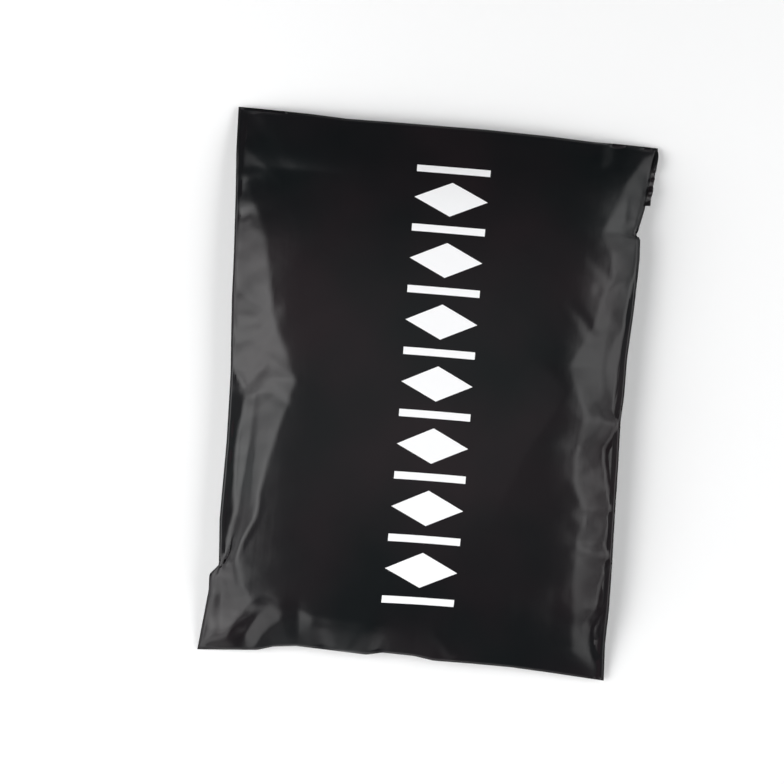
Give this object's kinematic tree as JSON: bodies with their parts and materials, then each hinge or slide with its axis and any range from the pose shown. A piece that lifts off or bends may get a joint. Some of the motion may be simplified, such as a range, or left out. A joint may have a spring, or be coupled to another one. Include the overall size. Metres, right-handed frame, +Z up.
{
  "type": "poly mailer bag",
  "caption": "Filled and sealed black film mailer bag, pillow-shaped, with welded side seams and a glued flap folded to the back.",
  "frame": {"origin": "under the middle of the bag, on the surface it lies on", "axes": "+X across the bag, +Y along it towards the folded top edge, +Z up, out of the front panel"},
  "size_m": [0.2496, 0.319, 0.032],
  "materials": {
    "film": "half-glossy opaque polyethylene film, creased and finely wrinkled, with a plain white print down the front"
  },
  "bodies": {
    "root": {"mailer_bag": "film"}
  },
  "joints": []
}
